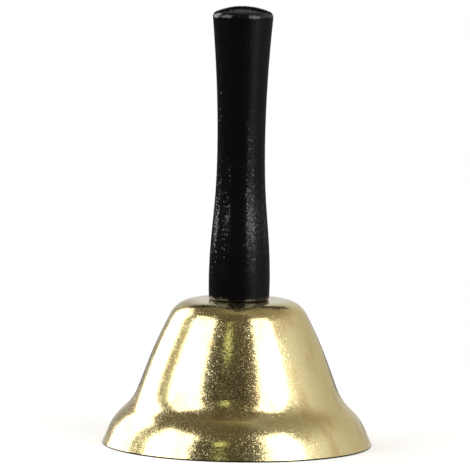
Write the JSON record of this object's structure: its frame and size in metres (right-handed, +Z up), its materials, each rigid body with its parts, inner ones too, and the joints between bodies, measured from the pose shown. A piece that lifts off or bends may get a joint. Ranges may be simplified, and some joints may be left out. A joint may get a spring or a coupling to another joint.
{
  "type": "hand bell",
  "caption": "Hand bell with a flared metal cup, a waisted black wooden handle and a clapper ball that swings on a wire link.",
  "frame": {"origin": "centre of the bell's mouth, on the surface that the rim rests on", "axes": "+Z up along the bell's axis, from the mouth to the top of the handle; the eye ring lies in the XZ plane"},
  "size_m": [0.0798, 0.0798, 0.13],
  "materials": {
    "black_lacquer": "gloss",
    "bell_metal": "gloss",
    "zinc_steel": "satin",
    "ball_steel": "polished"
  },
  "bodies": {
    "bell": {"handle": "black_lacquer", "bell_shell": "bell_metal", "crown_washer": "zinc_steel", "eye_screw": "zinc_steel"},
    "link": {"clapper_link": "zinc_steel"},
    "clapper": {"clapper_stem": "zinc_steel", "clapper_ball": "ball_steel"}
  },
  "joints": [
    {"name": "link_swing", "type": "hinge", "parent": "bell", "child": "link", "pos_m": [0, 0, 0.0344], "axis": [1, 0, 0], "range_deg": [-47, 47]},
    {"name": "clapper_swing", "type": "hinge", "parent": "link", "child": "clapper", "pos_m": [0, 0, 0.02836], "axis": [0, 1, 0], "range_deg": [-25, 25]}
  ]
}
